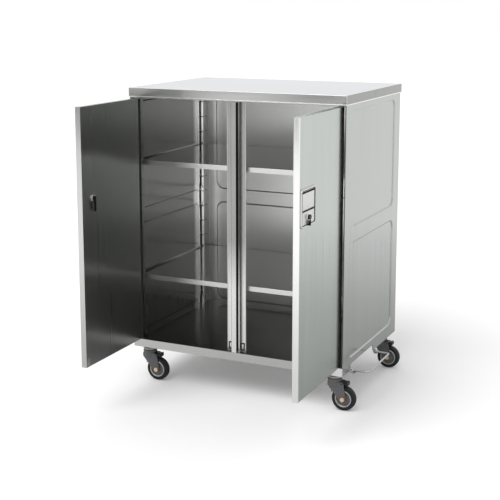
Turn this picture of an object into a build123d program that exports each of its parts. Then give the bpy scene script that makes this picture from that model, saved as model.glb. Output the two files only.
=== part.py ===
from build123d import *
import os

os.makedirs("parts", exist_ok=True)

# Cabinet body, measured over its panels
body_width = 960
body_depth = 680
body_height = 1120
floor_clearance = 155
sheet = 1.2

# Worktop and the pan that makes the cabinet floor and the rail under the doors
top_sheet = 1.5
top_lip = 38
top_overhang = 5
top_corner = 4
top_edge = 2
rail_height = 35

# Pressed fields that stiffen the side and back panels
field_depth = 4
field_slope = 6
field_corner = 40
field_bottom = 52
field_top_margin = 60
field_band_low = 532
field_band_high = 592
side_field_margin = 66
back_field_margin = 60
hem = 14

# Header channel over the doors and the hat-shaped mullion between them
header_drop = 42
header_setback = 2
header_depth = 38
rib_width = 21
rib_depth = 28
flange_width = 32

# Corner posts with the slots for the shelf clips
post_sheet = 1.5
post_depth = 17
post_leg = 11
front_post_setback = 38
front_post_width = 38
rear_post_width = 56
slot_width = 14
slot_height = 5
slot_first = 88
slot_last = 67
slot_count = 14

# Shelves and the clips under them
lower_shelf_slot = 3
upper_shelf_slot = 10
shelf_setback = 46
shelf_lip = 20
shelf_edge = 1
shelf_gap = 3
shelf_back_gap = 4
clip_sheet = 2
clip_reach = 16
clip_width = 12
clip_height = 22
clip_tongue = 4
clip_drop = 8

# Doors, each hung on a round tube that turns on a plug at either end
door_thickness = 24
door_gap = 2
rib_gap = 1.5
door_edge = 1.5
hinge_inset = 27
hinge_setback = 13
tube_radius = 13
tube_wall = 1.5
weld_width = 12
weld_depth = 5
plug_flange = 2
plug_length = 15
pin_radius = 5
pin_length = 12
bush_radius = 8
bush_flange_radius = 11
bush_flange = 1
bush_length = 8
running_fit = 0.05
seat_fit = 0.1

# Flush pull with a key lock on each door
lock_edge = 6
lock_width = 140
lock_height = 142
lock_rise = 679
lock_corner = 14
lock_plate_thickness = 3
lock_border = 11
key_zone = 56
cup_depth = 14
cup_wall = 1.5
cup_corner = 2
flap_thickness = 4
flap_side_gap = 0.8
flap_knuckle = 5
flap_knuckle_gap = 1
flap_pin_radius = 2.5
finger_gap = 7
key_rise = 34
bezel_radius = 13
bezel_height = 2.5
barrel_radius = 9.5
plug_radius = 7
nut_radius = 14
nut_height = 5
turn_width = 10
turn_height = 4
turn_length = 28
cam_gap = 1.5
cam_sheet = 3
cam_width = 14
cam_length = 54

# Magnetic catches on the mullion and their plates on the doors
catch_width = 20
catch_height = 32
catch_rise = 5
catch_depth = 2.4
catch_plate = 1

# Casters, all trailing the same way
caster_inset = 50
caster_recess = 8
caster_trail = 40
wheel_radius = 50
tyre_width = 30
tyre_depth = 14
tyre_round = 7
tyre_fit = 0.1
rim_width = 26
rim_depth = 6
web_width = 9
hub_radius = 14
hub_width = 33
fork_gap = 34
fork_leg = 4
fork_end_radius = 14
fork_root = 50
crown_radius = 27
crown_height = 16
crown_gap = 4
swivel_gap = 0.5
skirt_gap = 4
skirt_wall = 3
plate_side = 76
plate_thickness = 4
plate_corner = 8
bolt_spread = 60
bolt_radius = 4
bolt_head = 7.5
bolt_head_height = 5
kingpin_radius = 6
kingpin_head = 10
kingpin_head_height = 5
axle_radius = 5
axle_head = 9.5
axle_head_height = 6
pedal_ahead = 35
pedal_rise = 13
pedal_eye = 7
pedal_knuckle = 6.5
pedal_pin_radius = 3
pedal_length = 33
pedal_hump = 15
pedal_hump_at = 8
pedal_tip_high = 9
pedal_tip_low = 3
pedal_pad = 5
pedal_pad_width = 44
pedal_pad_start = 12
pedal_pad_corner = 3
pedal_side_gap = 0.5
shoe_drop = 10.3
shoe_start = 3
shoe_length = 12
channel_sheet = 2.5
channel_width = 82
pivot_relief = 11

# Fold-up tow loop at the bottom of the right side
notch_start = 90
notch_length = 282
notch_height = 26
notch_corner = 20
loop_rod = 4
loop_clear = 8
loop_reach = 68
loop_standoff = 8
loop_bend = 14
loop_end_bend = 7
eye_wall = 3
eye_length = 9
eye_margin = 1
eye_plate = 2
eye_plate_height = 24
eye_gap = 0.3
stop_height = 4
stop_reach = 14

# Places that follow from the sizes above
base_z = floor_clearance
top_z = base_z + body_height
floor_z = base_z + rail_height
header_z = top_z - header_drop
slot_pitch = (header_z - slot_last - base_z - slot_first) / (slot_count - 1)
panel_top = top_z - top_sheet
side_x = body_width / 2
inner_x = side_x - sheet
front_y = -body_depth / 2
back_y = body_depth / 2
inner_back = back_y - sheet
post_face = inner_x - post_depth
pivot_x = side_x - hinge_inset
pivot_y = front_y + hinge_setback
door_out = pivot_x + hinge_setback
door_in = door_out - door_thickness
hinge_y = pivot_y - tube_radius
free_y = hinge_y - (pivot_x - tube_radius - rib_width / 2 - rib_gap)
door_low = floor_z + door_gap
door_high = header_z - door_gap
caster_x = side_x - caster_inset
caster_front = front_y + caster_inset
caster_back = back_y - caster_inset


def level(z):
    """A horizontal plane at a height, read as X and Y."""
    return Plane.XY.offset(z)


def upright(y):
    """A plane that faces the front, read as X and Z."""
    return Plane.XZ.offset(-y)


def sidewall(x):
    """A plane that faces the right side, read as Y and Z."""
    return Plane.YZ.offset(x)


def rect(plane, one, other, radius=0):
    """A rectangle between two opposite corners, rounded where a radius is given."""
    width = abs(other[0] - one[0])
    height = abs(other[1] - one[1])
    with BuildSketch(plane) as outline:
        with Locations(((one[0] + other[0]) / 2, (one[1] + other[1]) / 2)):
            if radius > 0:
                RectangleRounded(width, height, radius)
            else:
                Rectangle(width, height)
    return outline.sketch


def disc(plane, centre, radius):
    """A round outline on a plane."""
    with BuildSketch(plane) as outline:
        with Locations(centre):
            Circle(radius)
    return outline.sketch


def hexagon(plane, centre, radius):
    """The outline of a hexagonal bolt head or nut."""
    with BuildSketch(plane) as outline:
        with Locations(centre):
            RegularPolygon(radius, 6)
    return outline.sketch


def save(piece, name):
    """Labels a finished piece and writes it as its own file."""
    piece.label = name
    export_step(piece, f"parts/{name}.step")


# Worktop: a folded sheet with a lip all round
with BuildPart() as top_panel:
    top_x = side_x + top_overhang
    top_y = back_y + top_overhang
    extrude(rect(level(top_z - top_lip), (-top_x, -top_y), (top_x, top_y)), amount=top_lip)
    fillet(top_panel.edges().filter_by(Axis.Z), top_corner)
    fillet(top_panel.faces().sort_by(Axis.Z)[-1].edges(), top_edge)
    hollow = rect(
        level(top_z - top_lip),
        (-top_x + top_sheet, -top_y + top_sheet),
        (top_x - top_sheet, top_y - top_sheet),
        top_corner - top_sheet,
    )
    extrude(hollow, amount=top_lip - top_sheet, mode=Mode.SUBTRACT)
save(top_panel.part, "top_panel")

# Base pan: the cabinet floor with its edges turned down, the front one being the rail
notch_outline = ((front_y + notch_start, base_z - notch_height),
                 (front_y + notch_start + notch_length, base_z + notch_height))
pivots = [(-pivot_x, pivot_y), (pivot_x, pivot_y)]
with BuildPart() as base_pan:
    extrude(rect(level(base_z), (-inner_x, front_y), (inner_x, inner_back)), amount=rail_height)
    hollow = rect(
        level(base_z),
        (-inner_x + sheet, front_y + sheet),
        (inner_x - sheet, inner_back - sheet),
    )
    extrude(hollow, amount=rail_height - sheet, mode=Mode.SUBTRACT)
    for pivot in pivots:
        extrude(disc(level(floor_z), pivot, bush_radius + seat_fit), amount=-sheet, mode=Mode.SUBTRACT)
    notch = rect(sidewall(inner_x - sheet), *notch_outline, notch_corner)
    extrude(notch, amount=sheet, mode=Mode.SUBTRACT)
save(base_pan.part, "base_pan")

# Side panels: each a sheet with two pressed fields and a hemmed front edge
fields = [
    (base_z + field_bottom, base_z + field_band_low),
    (base_z + field_band_high, top_z - field_top_margin),
]


def field(plane, one, other, inset):
    """A pressed field's outline, drawn in by the run of its sloping edge."""
    return rect(
        plane,
        (one[0] + inset, one[1] + inset),
        (other[0] - inset, other[1] - inset),
        field_corner - inset,
    )


def plain_side_panel():
    """The right side panel before its notch is cut."""
    with BuildPart() as panel:
        extrude(rect(sidewall(inner_x), (front_y, base_z), (back_y, panel_top)), amount=sheet)
        extrude(rect(sidewall(inner_x), (front_y, floor_z), (front_y + hem, header_z)), amount=-sheet)
        for low, high in fields:
            one = (front_y + side_field_margin, low)
            other = (back_y - side_field_margin, high)
            loft(
                [
                    field(sidewall(inner_x), one, other, 0),
                    field(sidewall(inner_x - field_depth), one, other, field_slope),
                ],
                ruled=True,
            )
            loft(
                [
                    field(sidewall(side_x), one, other, 0),
                    field(sidewall(side_x - field_depth), one, other, field_slope),
                ],
                ruled=True,
                mode=Mode.SUBTRACT,
            )
    return panel.part


with BuildPart() as left_side_panel:
    mirror(plain_side_panel(), about=Plane.YZ)
save(left_side_panel.part, "left_side_panel")

with BuildPart() as right_side_panel:
    add(plain_side_panel())
    notch = rect(sidewall(inner_x), *notch_outline, notch_corner)
    extrude(notch, amount=sheet, mode=Mode.SUBTRACT)
save(right_side_panel.part, "right_side_panel")

# Back panel: pressed like the sides
with BuildPart() as back_panel:
    extrude(rect(upright(back_y), (-inner_x, base_z), (inner_x, panel_top)), amount=sheet)
    for low, high in fields:
        one = (-side_x + back_field_margin, low)
        other = (side_x - back_field_margin, high)
        loft(
            [
                field(upright(inner_back), one, other, 0),
                field(upright(inner_back - field_depth), one, other, field_slope),
            ],
            ruled=True,
        )
        loft(
            [
                field(upright(back_y), one, other, 0),
                field(upright(back_y - field_depth), one, other, field_slope),
            ],
            ruled=True,
            mode=Mode.SUBTRACT,
        )
save(back_panel.part, "back_panel")

# Header: a channel behind the worktop's lip that holds the doors' upper pivots
with BuildPart() as header_rail:
    header_front = front_y + header_setback
    header_back = header_front + header_depth
    extrude(
        rect(sidewall(-inner_x), (header_front, header_z), (header_back, panel_top)),
        amount=2 * inner_x,
    )
    hollow = rect(
        sidewall(-inner_x),
        (header_front + top_sheet, header_z + top_sheet),
        (header_back - top_sheet, panel_top),
    )
    extrude(hollow, amount=2 * inner_x, mode=Mode.SUBTRACT)
    for pivot in pivots:
        hole = disc(level(header_z), pivot, bush_radius + seat_fit)
        extrude(hole, amount=top_sheet, mode=Mode.SUBTRACT)
save(header_rail.part, "header_rail")

# Mullion: a hat section whose rib stands between the closed doors
rib_x = rib_width / 2
flange_x = rib_x + flange_width
flange_y = front_y + rib_depth
with BuildPart() as mullion:
    height = header_z - floor_z
    extrude(rect(level(floor_z), (-flange_x, flange_y), (flange_x, flange_y + sheet)), amount=height)
    extrude(rect(level(floor_z), (-rib_x, front_y), (rib_x, flange_y)), amount=height)
    hollow = rect(level(floor_z), (-rib_x + sheet, front_y + sheet), (rib_x - sheet, flange_y + sheet))
    extrude(hollow, amount=height, mode=Mode.SUBTRACT)
save(mullion.part, "mullion")

# Corner posts: a long leg on the wall, a slotted face and a short leg
slot_heights = [base_z + slot_first + slot_pitch * step for step in range(slot_count)]
front_post_y = front_y + front_post_setback
rear_post_y = inner_back
post_places = [
    (side, wall_y, width, inward)
    for side in (-1, 1)
    for wall_y, width, inward in (
        (front_post_y, front_post_width, 1),
        (rear_post_y, rear_post_width, -1),
    )
]
with BuildPart() as shelf_posts:
    for side, wall_y, width, inward in post_places:
        far_y = wall_y + inward * width
        face_x = side * post_face
        inner_face_x = side * (post_face + post_sheet)
        long_leg = rect(level(floor_z), (face_x, wall_y), (side * inner_x, wall_y + inward * post_sheet))
        face = rect(level(floor_z), (face_x, wall_y), (inner_face_x, far_y))
        short_leg = rect(
            level(floor_z), (face_x, far_y), (side * (post_face + post_leg), far_y - inward * post_sheet)
        )
        for leg in (long_leg, face, short_leg):
            extrude(leg, amount=header_z - floor_z)
        middle_y = (wall_y + far_y) / 2
        with BuildSketch(sidewall(face_x)) as slots:
            with Locations([(middle_y, z) for z in slot_heights]):
                Rectangle(slot_width, slot_height)
        extrude(slots.sketch, amount=side * post_sheet, mode=Mode.SUBTRACT)
save(shelf_posts.part, "shelf_posts")

# Shelves: pans turned over, resting on clips in the posts
shelf_x = post_face - shelf_gap
shelf_front = front_y + shelf_setback
shelf_back = inner_back - field_depth - shelf_back_gap
shelf_slots = {"lower_shelf": lower_shelf_slot, "upper_shelf": upper_shelf_slot}
for name, slot in shelf_slots.items():
    shelf_low = slot_heights[slot] - clip_drop
    with BuildPart() as shelf:
        extrude(rect(level(shelf_low), (-shelf_x, shelf_front), (shelf_x, shelf_back)), amount=shelf_lip)
        fillet(shelf.faces().sort_by(Axis.Z)[-1].edges(), shelf_edge)
        hollow = rect(
            level(shelf_low),
            (-shelf_x + sheet, shelf_front + sheet),
            (shelf_x - sheet, shelf_back - sheet),
        )
        extrude(hollow, amount=shelf_lip - sheet, mode=Mode.SUBTRACT)
    save(shelf.part, name)

# Shelf clips: a tongue in the slot, an upright on the post and a tab under the shelf's lip
with BuildPart() as shelf_clips:
    for slot in shelf_slots.values():
        slot_z = slot_heights[slot]
        tab_z = slot_z - clip_drop
        for side, wall_y, width, inward in post_places:
            middle_y = wall_y + inward * width / 2
            low_y = middle_y - clip_width / 2
            high_y = middle_y + clip_width / 2
            upright_plate = rect(
                sidewall(side * post_face),
                (low_y, tab_z - clip_sheet),
                (high_y, tab_z - clip_sheet + clip_height),
            )
            extrude(upright_plate, amount=-side * clip_sheet)
            tab = rect(
                level(tab_z), (side * post_face, low_y), (side * (post_face - clip_reach), high_y)
            )
            extrude(tab, amount=-clip_sheet)
            tongue = rect(
                sidewall(side * post_face),
                (low_y, slot_z - clip_sheet / 2),
                (high_y, slot_z + clip_sheet / 2),
            )
            extrude(tongue, amount=side * clip_tongue)
save(shelf_clips.part, "shelf_clips")

# Bushes in the base pan and the header, flanged towards the doors
with BuildPart() as door_pivot_bushes:
    for pivot in pivots:
        for seat_z, away in ((floor_z, -1), (header_z, 1)):
            extrude(disc(level(seat_z), pivot, bush_flange_radius), amount=-away * bush_flange)
            extrude(disc(level(seat_z), pivot, bush_radius), amount=away * bush_length)
            bore = disc(level(seat_z - away * bush_flange), pivot, pin_radius + running_fit)
            extrude(bore, amount=away * (bush_flange + bush_length), mode=Mode.SUBTRACT)
save(door_pivot_bushes.part, "door_pivot_bushes")

# Magnetic catches near the foot of the mullion
catch_z = floor_z + catch_rise
catch_x = rib_x + flange_width / 2
with BuildPart() as magnetic_catches:
    for side in (-1, 1):
        body = rect(
            upright(flange_y),
            (side * catch_x - catch_width / 2, catch_z),
            (side * catch_x + catch_width / 2, catch_z + catch_height),
            2,
        )
        extrude(body, amount=catch_depth)
save(magnetic_catches.part, "magnetic_catches")

# Right door, standing open at a right angle: its outer face looks to the right
door_parts = {}
lock_low = base_z + lock_rise
lock_high = lock_low + lock_height
lock_near = free_y + lock_edge
lock_far = lock_near + lock_width
cup_low = lock_low + key_zone
cup_high = lock_high - lock_border
cup_near = lock_near + lock_border
cup_far = lock_far - lock_border
key_at = ((lock_near + lock_far) / 2, lock_low + key_rise)
flap_pin_x = door_out - flap_knuckle + flap_thickness
flap_pin_z = cup_high - flap_knuckle - flap_knuckle_gap
flap_near = cup_near + flap_side_gap
flap_far = cup_far - flap_side_gap

with BuildPart() as door_skin:
    extrude(rect(sidewall(door_in), (free_y, door_low), (hinge_y, door_high)), amount=door_thickness)
    fillet(door_skin.faces().sort_by(Axis.X)[-1].edges(), door_edge)
    hollow = rect(
        sidewall(door_in),
        (free_y + sheet, door_low + sheet),
        (hinge_y - sheet, door_high - sheet),
    )
    extrude(hollow, amount=door_thickness - sheet, mode=Mode.SUBTRACT)
    cup_hole = rect(
        sidewall(door_out),
        (cup_near - cup_wall - seat_fit, cup_low - cup_wall - seat_fit),
        (cup_far + cup_wall + seat_fit, cup_high + cup_wall + seat_fit),
        cup_corner + cup_wall + seat_fit,
    )
    extrude(cup_hole, amount=-sheet, mode=Mode.SUBTRACT)
    extrude(disc(sidewall(door_out), key_at, barrel_radius + seat_fit), amount=-sheet, mode=Mode.SUBTRACT)
door_parts["door_skin"] = door_skin.part

with BuildPart() as door_liner:
    liner = rect(
        sidewall(door_in),
        (free_y + sheet, door_low + sheet),
        (hinge_y - sheet, door_high - sheet),
    )
    extrude(liner, amount=sheet)
    extrude(disc(sidewall(door_in), key_at, barrel_radius + seat_fit), amount=sheet, mode=Mode.SUBTRACT)
door_parts["door_liner"] = door_liner.part

tube_low = door_low + plug_flange
tube_high = door_high - plug_flange
with BuildPart() as hinge_tube:
    extrude(disc(level(tube_low), (pivot_x, pivot_y), tube_radius), amount=tube_high - tube_low)
    weld = rect(
        level(tube_low),
        (pivot_x - weld_width / 2, hinge_y),
        (pivot_x + weld_width / 2, hinge_y + weld_depth),
    )
    extrude(weld, amount=tube_high - tube_low)
    bore = disc(level(tube_low), (pivot_x, pivot_y), tube_radius - tube_wall)
    extrude(bore, amount=tube_high - tube_low, mode=Mode.SUBTRACT)
door_parts["hinge_tube"] = hinge_tube.part

with BuildPart() as pivot_plugs:
    for end_z, away in ((door_low, -1), (door_high, 1)):
        centre = (pivot_x, pivot_y)
        extrude(disc(level(end_z), centre, tube_radius - seat_fit), amount=-away * plug_flange)
        extrude(disc(level(end_z), centre, tube_radius - tube_wall - seat_fit), amount=-away * plug_length)
        extrude(disc(level(end_z), centre, pin_radius), amount=away * pin_length)
door_parts["pivot_plugs"] = pivot_plugs.part

# Flush pull: a plate with a cup sunk into the door behind its flap
with BuildPart() as lock_plate:
    plate = rect(sidewall(door_out), (lock_near, lock_low), (lock_far, lock_high), lock_corner)
    extrude(plate, amount=lock_plate_thickness)
    fillet(lock_plate.faces().sort_by(Axis.X)[-1].edges(), lock_plate_thickness / 2)
    cup = rect(
        sidewall(door_out),
        (cup_near - cup_wall, cup_low - cup_wall),
        (cup_far + cup_wall, cup_high + cup_wall),
        cup_corner + cup_wall,
    )
    extrude(cup, amount=-cup_depth)
    hollow = rect(
        sidewall(door_out - cup_depth + cup_wall), (cup_near, cup_low), (cup_far, cup_high), cup_corner
    )
    extrude(hollow, amount=cup_depth - cup_wall + lock_plate_thickness, mode=Mode.SUBTRACT)
    key_hole = disc(sidewall(door_out), key_at, barrel_radius + seat_fit)
    extrude(key_hole, amount=lock_plate_thickness, mode=Mode.SUBTRACT)
    pin_hole = disc(upright(cup_far + cup_wall), (flap_pin_x, flap_pin_z), flap_pin_radius + seat_fit)
    extrude(pin_hole, amount=cup_far - cup_near + 2 * cup_wall, mode=Mode.SUBTRACT)
door_parts["lock_plate"] = lock_plate.part

with BuildPart() as flap_pin:
    pin = disc(upright(cup_far + cup_wall), (flap_pin_x, flap_pin_z), flap_pin_radius)
    extrude(pin, amount=cup_far - cup_near + 2 * cup_wall)
door_parts["flap_pin"] = flap_pin.part

with BuildPart() as pull_flap:
    leaf = rect(
        sidewall(door_out),
        (flap_near, cup_low + finger_gap),
        (flap_far, flap_pin_z),
    )
    extrude(leaf, amount=flap_thickness)
    fillet(pull_flap.faces().sort_by(Axis.Z)[0].edges().filter_by(Axis.Y), flap_thickness / 4)
    knuckle = disc(upright(flap_far), (flap_pin_x, flap_pin_z), flap_knuckle)
    extrude(knuckle, amount=flap_far - flap_near)
    bore = disc(upright(flap_far), (flap_pin_x, flap_pin_z), flap_pin_radius + running_fit)
    extrude(bore, amount=flap_far - flap_near, mode=Mode.SUBTRACT)
door_parts["pull_flap"] = pull_flap.part

# Key lock: a barrel clamped through the door, and the plug that turns the cam
plate_face = door_out + lock_plate_thickness
with BuildPart() as lock_barrel:
    extrude(disc(sidewall(plate_face), key_at, bezel_radius), amount=bezel_height)
    fillet(lock_barrel.faces().sort_by(Axis.X)[-1].edges(), bezel_height / 3)
    extrude(disc(sidewall(plate_face), key_at, barrel_radius), amount=door_in - plate_face - nut_height)
    extrude(hexagon(sidewall(door_in), key_at, nut_radius), amount=-nut_height)
    bore = disc(sidewall(plate_face + bezel_height), key_at, plug_radius + running_fit)
    extrude(bore, amount=door_in - nut_height - plate_face - bezel_height, mode=Mode.SUBTRACT)
door_parts["lock_barrel"] = lock_barrel.part

cam_out = door_in - nut_height - cam_gap
turn_in = plate_face + bezel_height + swivel_gap
with BuildPart() as lock_cam:
    extrude(disc(sidewall(turn_in), key_at, plug_radius), amount=cam_out - cam_sheet - turn_in)
    turn = rect(
        sidewall(turn_in),
        (key_at[0] - turn_width / 2, key_at[1] - turn_length),
        (key_at[0] + turn_width / 2, key_at[1] + plug_radius),
        turn_width / 3,
    )
    extrude(turn, amount=turn_height)
    fillet(lock_cam.faces().sort_by(Axis.X)[-1].edges(), turn_height / 4)
    cam = rect(
        sidewall(cam_out),
        (key_at[0] - cam_width / 2, key_at[1] - cam_length),
        (key_at[0] + cam_width / 2, key_at[1] + cam_width / 2),
        cam_width / 3,
    )
    extrude(cam, amount=-cam_sheet)
door_parts["lock_cam"] = lock_cam.part

# Steel plate that the magnet holds, on the inner face near the free edge
with BuildPart() as catch_keeper:
    keeper_y = free_y - rib_gap + flange_width / 2
    keeper = rect(
        sidewall(door_in),
        (keeper_y - catch_width / 2, catch_z),
        (keeper_y + catch_width / 2, catch_z + catch_height),
        2,
    )
    extrude(keeper, amount=-catch_plate)
door_parts["catch_keeper"] = catch_keeper.part

for name, piece in door_parts.items():
    save(piece, f"right_{name}")
    with BuildPart() as left_piece:
        mirror(piece, about=Plane.YZ)
    save(left_piece.part, f"left_{name}")

# Caster heights, from the floor up
axle_z = wheel_radius
crown_low = 2 * wheel_radius + crown_gap
crown_high = crown_low + crown_height
housing_low = crown_high + swivel_gap
channel_low = base_z + caster_recess
plate_low = channel_low - plate_thickness
caster_places = {
    "front_left": (-caster_x, caster_front),
    "front_right": (caster_x, caster_front),
    "rear_left": (-caster_x, caster_back),
    "rear_right": (caster_x, caster_back),
}
bolt_steps = [(sx * bolt_spread / 2, sy * bolt_spread / 2) for sx in (-1, 1) for sy in (-1, 1)]
bolt_places = [(x + dx, y + dy) for x, y in caster_places.values() for dx, dy in bolt_steps]

# Channels under the floor that carry the casters, relieved round the door pivots
with BuildPart() as caster_channels:
    channel_x = inner_x - sheet
    channel_high = floor_z - sheet
    for middle_y in (caster_front, caster_back):
        low_y = middle_y - channel_width / 2
        high_y = middle_y + channel_width / 2
        extrude(
            rect(sidewall(-channel_x), (low_y, channel_low), (high_y, channel_high)), amount=2 * channel_x
        )
        hollow = rect(
            sidewall(-channel_x),
            (low_y + channel_sheet, channel_low + channel_sheet),
            (high_y - channel_sheet, channel_high),
        )
        extrude(hollow, amount=2 * channel_x, mode=Mode.SUBTRACT)
    for pivot in pivots:
        relief = disc(level(channel_low + channel_sheet), pivot, pivot_relief)
        extrude(relief, amount=channel_high - channel_low - channel_sheet, mode=Mode.SUBTRACT)
    for centre in caster_places.values():
        hole = disc(level(channel_low), centre, kingpin_radius + seat_fit)
        extrude(hole, amount=channel_sheet, mode=Mode.SUBTRACT)
    with BuildSketch(level(channel_low)) as bolt_holes:
        with Locations(bolt_places):
            Circle(bolt_radius + seat_fit)
    extrude(bolt_holes.sketch, amount=channel_sheet, mode=Mode.SUBTRACT)
save(caster_channels.part, "caster_channels")

# Caster mounts: a bolted plate with the fixed half of the swivel head under it
with BuildPart() as caster_mounts:
    for x, y in caster_places.values():
        half = plate_side / 2
        plate = rect(level(plate_low), (x - half, y - half), (x + half, y + half), plate_corner)
        extrude(plate, amount=plate_thickness)
        extrude(disc(level(housing_low), (x, y), crown_radius), amount=plate_low - housing_low)
        bore = disc(level(housing_low), (x, y), kingpin_radius + seat_fit)
        extrude(bore, amount=channel_low - housing_low, mode=Mode.SUBTRACT)
    with BuildSketch(level(plate_low)) as bolt_holes:
        with Locations(bolt_places):
            Circle(bolt_radius + seat_fit)
    extrude(bolt_holes.sketch, amount=plate_thickness, mode=Mode.SUBTRACT)
save(caster_mounts.part, "caster_mounts")

with BuildPart() as caster_kingpins:
    kingpin_top = channel_low + channel_sheet
    kingpin_low = crown_low - swivel_gap
    for centre in caster_places.values():
        extrude(disc(level(kingpin_low), centre, kingpin_radius), amount=kingpin_top - kingpin_low)
        extrude(disc(level(kingpin_top), centre, kingpin_head), amount=kingpin_head_height)
        extrude(disc(level(kingpin_low), centre, kingpin_head), amount=-kingpin_head_height)
save(caster_kingpins.part, "caster_kingpins")

with BuildPart() as caster_bolts:
    bolt_top = channel_low + channel_sheet
    for place in bolt_places:
        extrude(hexagon(level(plate_low), place, bolt_head), amount=-bolt_head_height)
        extrude(disc(level(plate_low), place, bolt_radius), amount=bolt_top - plate_low)
        extrude(hexagon(level(bolt_top), place, bolt_head), amount=bolt_head_height)
save(caster_bolts.part, "caster_bolts")


def caster(name, x, y):
    """One caster's moving pieces: fork, wheel core, tyre, axle bolt and brake pedal."""
    axle = (x + caster_trail, axle_z)
    pedal_axis = (x + pedal_ahead, 2 * wheel_radius + pedal_rise)
    leg_in = fork_gap / 2
    leg_out = leg_in + fork_leg

    with BuildPart() as fork:
        extrude(disc(level(crown_low), (x, y), crown_radius), amount=crown_height)
        bridge = rect(level(crown_low), (x, y - leg_out), (x + crown_radius, y + leg_out))
        extrude(bridge, amount=crown_height)
        for face_y in (y - leg_in, y + leg_out):
            with BuildSketch(upright(face_y)) as leg:
                with Locations(axle):
                    Circle(fork_end_radius)
                with Locations(pedal_axis):
                    Circle(pedal_eye)
                with Locations((x, (crown_low + crown_high) / 2)):
                    Rectangle(fork_root, crown_height)
                make_hull()
            extrude(leg.sketch, amount=fork_leg)
        with BuildSketch(upright(y + leg_in)) as skirt:
            with Locations(axle):
                Circle(wheel_radius + skirt_gap + skirt_wall)
                Circle(wheel_radius + skirt_gap, mode=Mode.SUBTRACT)
            skirt_reach = (x - crown_radius, axle_z + wheel_radius / 2)
            split(bisect_by=Plane(origin=(*skirt_reach, 0), z_dir=(0, 1, 0)), keep=Keep.TOP)
            split(bisect_by=Plane(origin=(x, axle_z, 0), z_dir=(1, 0, 0)), keep=Keep.BOTTOM)
        extrude(skirt.sketch, amount=fork_gap)
        kingpin_bore = disc(level(crown_low), (x, y), kingpin_radius + running_fit)
        extrude(kingpin_bore, amount=crown_height, mode=Mode.SUBTRACT)
        axle_bore = disc(upright(y + leg_out), axle, axle_radius + seat_fit)
        extrude(axle_bore, amount=2 * leg_out, mode=Mode.SUBTRACT)
        pedal_bore = disc(upright(y + leg_out), pedal_axis, pedal_pin_radius + running_fit)
        extrude(pedal_bore, amount=2 * leg_out, mode=Mode.SUBTRACT)
    save(fork.part, f"{name}_fork")

    rim_radius = wheel_radius - tyre_depth - tyre_fit
    with BuildPart() as core:
        extrude(disc(upright(y + rim_width / 2), axle, rim_radius), amount=rim_width)
        for face_y in (y + rim_width / 2, y - web_width / 2):
            with BuildSketch(upright(face_y)) as dish:
                with Locations(axle):
                    Circle(rim_radius - rim_depth)
                    Circle(hub_radius, mode=Mode.SUBTRACT)
            extrude(dish.sketch, amount=(rim_width - web_width) / 2, mode=Mode.SUBTRACT)
        extrude(disc(upright(y + hub_width / 2), axle, hub_radius), amount=hub_width)
        bore = disc(upright(y + hub_width / 2), axle, axle_radius + running_fit)
        extrude(bore, amount=hub_width, mode=Mode.SUBTRACT)
    save(core.part, f"{name}_wheel_core")

    with BuildPart() as tyre:
        extrude(disc(upright(y + tyre_width / 2), axle, wheel_radius), amount=tyre_width)
        fillet(tyre.edges().filter_by(GeomType.CIRCLE), tyre_round)
        bore = disc(upright(y + tyre_width / 2), axle, wheel_radius - tyre_depth)
        extrude(bore, amount=tyre_width, mode=Mode.SUBTRACT)
    save(tyre.part, f"{name}_tyre")

    with BuildPart() as axle_bolt:
        extrude(disc(upright(y + leg_out), axle, axle_radius), amount=2 * leg_out)
        extrude(hexagon(upright(y + leg_out), axle, axle_head), amount=-axle_head_height)
        extrude(hexagon(upright(y - leg_out), axle, axle_head), amount=axle_head_height)
    save(axle_bolt.part, f"{name}_axle_bolt")

    with BuildPart() as pedal:
        pedal_half = leg_in - pedal_side_gap
        px, pz = pedal_axis
        extrude(disc(upright(y + pedal_half), pedal_axis, pedal_knuckle), amount=2 * pedal_half)
        extrude(disc(upright(y + leg_out), pedal_axis, pedal_pin_radius), amount=2 * leg_out)
        with BuildSketch(upright(y + pedal_half)) as arm:
            with BuildLine():
                Polyline(
                    (px, pz + pedal_knuckle),
                    (px + pedal_hump_at, pz + pedal_hump),
                    (px + pedal_length, pz + pedal_tip_high),
                    (px + pedal_length, pz + pedal_tip_low),
                    (px + pedal_pad_start, pz - pedal_tip_low),
                    (px, pz - pedal_tip_low),
                    close=True,
                )
            make_face()
        extrude(arm.sketch, amount=2 * pedal_half)
        pad = rect(
            level(pz + pedal_tip_high),
            (px + pedal_pad_start, y - pedal_pad_width / 2),
            (px + pedal_length, y + pedal_pad_width / 2),
            pedal_pad_corner,
        )
        extrude(pad, amount=-pedal_pad)
        shoe = rect(
            upright(y + rim_width / 2),
            (px + shoe_start, pz - shoe_drop),
            (px + shoe_start + shoe_length, pz - pedal_tip_low / 2),
        )
        extrude(shoe, amount=rim_width)
    save(pedal.part, f"{name}_brake_pedal")


for caster_name, (caster_at_x, caster_at_y) in caster_places.items():
    caster(caster_name, caster_at_x, caster_at_y)

# Tow loop: one bent rod whose turned-out ends sit in two eyes on the right side panel
loop_x = side_x + loop_standoff
loop_out = loop_x + loop_reach
loop_near = notch_outline[0][0] + loop_clear
loop_far = notch_outline[1][0] - loop_clear
loop_tail = loop_clear + eye_margin + eye_length
with BuildPart() as tow_loop:
    with BuildLine() as route:
        FilletPolyline(
            (loop_x, loop_near - loop_tail, base_z),
            (loop_x, loop_near, base_z),
            (loop_out, loop_near, base_z),
            (loop_out, loop_far, base_z),
            (loop_x, loop_far, base_z),
            (loop_x, loop_far + loop_tail, base_z),
            radius=[loop_end_bend, loop_bend, loop_bend, loop_end_bend],
        )
    with BuildSketch(Plane(route.line @ 0, z_dir=route.line % 0)):
        Circle(loop_rod)
    sweep(path=route.line)
save(tow_loop.part, "tow_loop")

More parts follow.
